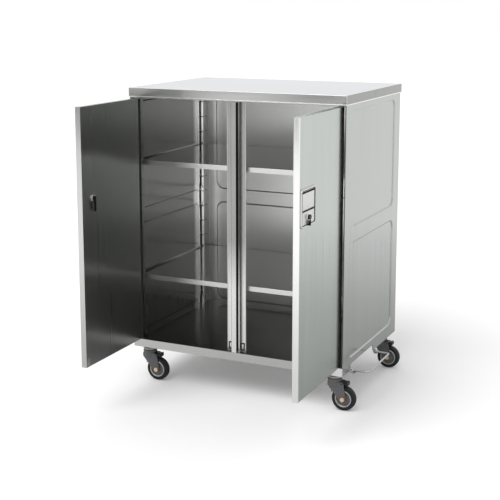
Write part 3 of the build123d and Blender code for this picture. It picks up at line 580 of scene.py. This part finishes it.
for corner, (x, y) in caster_places.items():
    dress(caster_grey, f"{corner}_fork")
    for part, outline in head_outlines.items():
        ring = turned(outline, (x, y, 0), "Z", 48)
        finish_piece(f"{corner}_{part}", ring, head_finishes[part], "cabinet")

# Wheels: a dished grey core with a pale ring pressed into either side, and a black rubber tyre with two
# shallow grooves round its tread. They turn on the axle bolt.
wheel_grey = moulded("wheel_grey", (0.13, 0.14, 0.135), 0.36, 900.0, 0.2)
pale_ring = moulded("pale_ring", (0.55, 0.56, 0.56), 0.30, 900.0, 0.2, metallic=0.6)
tyre_rubber = moulded("tyre_rubber", (0.018, 0.018, 0.019), 0.55, 700.0, 0.3, gloss=0.25, detail=3.0,
                      depth=0.0002)
axle_reach, axle_height = 0.040, 0.050
tyre_outline = [(0.0360, -0.0148), (0.0395, -0.0150), (0.0440, -0.0150), (0.0475, -0.0135),
                (0.0493, -0.0105), (0.0499, -0.0068), (0.0488, -0.0060), (0.0488, -0.0048),
                (0.0499, -0.0040), (0.0500, 0.0000)]
tyre_outline += mirrored(tyre_outline[-2::-1], -1)
core_outline = [(0.0052, -0.0164), (0.0128, -0.0164), (0.0140, -0.0150), (0.0145, -0.0075),
                (0.0175, -0.0060), (0.0260, -0.0060), (0.0290, -0.0085), (0.0300, -0.0125),
                (0.0359, -0.0128)]
core_outline += mirrored(core_outline[::-1], -1)
ring_outline = [(0.0302, 0.0120), (0.0302, 0.0140), (0.0312, 0.0150), (0.0335, 0.0150), (0.0345, 0.0140),
                (0.0345, 0.0120)]
for corner, (x, y) in caster_places.items():
    hub = (x + axle_reach, y, axle_height)
    tread = turned(tyre_outline, hub, "Y", 72)
    made = finish_piece(f"{corner}_tread", tread, tyre_rubber, f"{corner}_wheel")
    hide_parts(f"{corner}_tyre")
    dish = turned(core_outline, hub, "Y", 64)
    made = finish_piece(f"{corner}_dish", dish, wheel_grey, f"{corner}_wheel")
    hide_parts(f"{corner}_wheel_core")
    for end, sign in (("front", -1), ("rear", 1)):
        ring = turned(mirrored(ring_outline, sign), hub, "Y", 64)
        finish_piece(f"{corner}_{end}_ring", ring, pale_ring, f"{corner}_wheel")

# Axles and brakes: a plated bolt with a brown washer under its head and its nut, and a short black
# pedal, moulded in one with its arm, that presses a shoe on the tyre.
brass = mottled("brass", (0.90, 0.74, 0.55), 0.8, 0.30, 220.0, (0.82, 0.64, 0.46), (0.96, 0.82, 0.64))
copper = mottled("copper", (0.26, 0.13, 0.06), 0.8, 0.34, 220.0, (0.20, 0.10, 0.05), (0.32, 0.16, 0.08))
washer_outline = [(0.0051, 0.0210), (0.0120, 0.0210), (0.0130, 0.0214), (0.0130, 0.0222), (0.0122, 0.0226),
                  (0.0051, 0.0226)]
pedal_reach, pedal_height, pedal_half, pedal_rounding = 0.035, 0.113, 0.0150, 0.0012
pedal_outline = [(-0.0040, 0.0060), (0.0030, 0.0072), (0.0110, 0.0066), (0.0180, 0.0082),
                 (0.0225, 0.0082), (0.0240, 0.0066), (0.0240, -0.0060), (0.0220, -0.0085),
                 (0.0170, -0.0085), (0.0110, -0.0050), (0.0030, -0.0066), (-0.0040, -0.0055)]
for corner, (x, y) in caster_places.items():
    hub = (x + axle_reach, y, axle_height)
    dress(brass, f"{corner}_axle_bolt")
    for end, sign in (("front", -1), ("rear", 1)):
        washer = turned(mirrored(washer_outline, sign), hub, "Y", 40)
        finish_piece(f"{corner}_{end}_washer", washer, copper, f"{corner}_caster")
    pedal = bmesh.new()
    outline = [(x + pedal_reach + along, y - pedal_half, pedal_height + up) for along, up in pedal_outline]
    drawn(pedal, outline, (0, 2 * pedal_half, 0))
    round_edges(pedal, sharp_edges(pedal), pedal_rounding, 3)
    made = finish_piece(f"{corner}_pedal_leaf", pedal, black_plastic, f"{corner}_pedal")
    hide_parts(f"{corner}_brake_pedal")

# Tow loop: a bent zinc-plated steel rod that hangs in two eyes under the right side, and swings up for a
# tow bar to hook on.
dress(zinc, "tow_loop", "tow_loop_eyes")


# Studio: a white floor in white surroundings, with one broad soft light from the front and above, a little
# from the left. Grey boards far out in front and a faint grey mat round the cabinet are seen only in what
# the steel mirrors.
def stage_piece(name, shape, material):
    """Adds a piece of the studio, which isn't part of the object."""
    mesh = bpy.data.meshes.new(name)
    shape.to_mesh(mesh)
    shape.free()
    mesh.materials.append(material)
    piece = bpy.data.objects.new(name, mesh)
    bpy.context.scene.collection.objects.link(piece)
    return piece


def show_in_mirrors(piece):
    """Leaves a piece of the studio to be seen only in what shines."""
    piece.visible_camera = False
    piece.visible_diffuse = False
    piece.visible_shadow = False


def matt(name, colour, roughness):
    """A studio material with no gloss."""
    material, shader = new_material(name, colour, 0.0, roughness)
    shader.inputs["Specular IOR Level"].default_value = 0.0
    return material, shader


def seen_straight(tree):
    """Gives 1 where the camera, a mirror or glass shows a surface, and 0 where it only gives light."""
    path = tree.nodes.new("ShaderNodeLightPath")
    seen = path.outputs["Is Camera Ray"]
    for kind in ("Is Glossy Ray", "Is Transmission Ray"):
        either = tree.nodes.new("ShaderNodeMath")
        either.operation = "MAXIMUM"
        tree.links.new(seen, either.inputs[0])
        tree.links.new(path.outputs[kind], either.inputs[1])
        seen = either.outputs[0]
    return seen


floor_glow, floor_half = 0.12, 60
white, white_shader = matt("studio_white", (0.95, 0.95, 0.95), 0.9)
white_shader.inputs["Emission Color"].default_value = (1, 1, 1, 1)
glow = spread(white, seen_straight(white.node_tree), 0.0, floor_glow, 0.0, 1.0)
white.node_tree.links.new(glow, white_shader.inputs["Emission Strength"])
ground = bmesh.new()
bmesh.ops.create_grid(ground, x_segments=1, y_segments=1, size=floor_half)
stage_piece("studio_floor", ground, white)

board_grey = matt("board_grey", (0.17, 0.17, 0.17), 1.0)[0]
board_y = -8.0
boards = {"front_board": ((-11.0, 1.3), (2.0, 3.9)), "left_board": ((-6.5, 0.1), (-4.2, 1.3)),
          "middle_board": ((-3.1, 0.1), (-2.2, 1.3))}
for name, ((left, low), (right, high)) in boards.items():
    board = bmesh.new()
    bmesh.ops.create_grid(board, x_segments=1, y_segments=1, size=0.5)
    centre = Matrix.Translation(((left + right) / 2, board_y, (low + high) / 2))
    upright = Matrix.Rotation(math.radians(90), 4, "X")
    size = Matrix.Diagonal((right - left, high - low, 1, 1))
    bmesh.ops.transform(board, verts=board.verts, matrix=centre @ upright @ size)
    show_in_mirrors(stage_piece(name, board, board_grey))

mat_grey, mat_shader = matt("mat_grey", (0.70, 0.70, 0.70), 1.0)
mat_radius, mat_half, mat_height = 4.0, 5, 0.002
mat_nodes, mat_links = mat_grey.node_tree.nodes, mat_grey.node_tree.links
mat_place = mat_nodes.new("ShaderNodeTexCoord")
mat_reach = mat_nodes.new("ShaderNodeMapping")
mat_reach.inputs["Scale"].default_value = (1 / mat_radius, 1 / mat_radius, 1)
mat_fade = mat_nodes.new("ShaderNodeTexGradient")
mat_fade.gradient_type = "SPHERICAL"
mat_links.new(mat_place.outputs["Object"], mat_reach.inputs["Vector"])
mat_links.new(mat_reach.outputs["Vector"], mat_fade.inputs["Vector"])
mat_links.new(spread(mat_grey, mat_fade.outputs["Fac"], 0.0, 1.0, 0.05, 0.60), mat_shader.inputs["Alpha"])
mat = bmesh.new()
bmesh.ops.create_grid(mat, x_segments=1, y_segments=1, size=mat_half)
bmesh.ops.translate(mat, vec=(0, 0, mat_height), verts=mat.verts)
show_in_mirrors(stage_piece("dark_mat", mat, mat_grey))

world_light, world_seen = 0.68, 1.0
world = bpy.data.worlds.new("studio")
bpy.context.scene.world = world
world.use_nodes = True
background = world.node_tree.nodes["Background"]
background.inputs["Color"].default_value = (1.0, 1.0, 1.0, 1)
brightness = spread(world, seen_straight(world.node_tree), world_light, world_seen, 0.0, 1.0)
world.node_tree.links.new(brightness, background.inputs["Strength"])

light_run = Vector((0.25, 0.70, -1.0))
lamp = bpy.data.lights.new("soft_light", "SUN")
lamp.energy = 1.5
lamp.angle = math.radians(40)
lamp_stand = bpy.data.objects.new("soft_light", lamp)
lamp_stand.rotation_mode = "QUATERNION"
lamp_stand.rotation_quaternion = light_run.to_track_quat("-Z", "Y")
bpy.context.scene.collection.objects.link(lamp_stand)

lens = bpy.data.cameras.new("photo_camera")
lens.lens = 78.21
lens.sensor_width = 36.0
lens.shift_y = -0.12
camera = bpy.data.objects.new("photo_camera", lens)
camera.location = (1.8975, -4.2359, 1.6268)
camera.rotation_euler = (math.radians(80.165), 0.0, math.radians(25.085))
bpy.context.scene.collection.objects.link(camera)
bpy.context.scene.camera = camera
bpy.context.scene.view_settings.view_transform = "Standard"
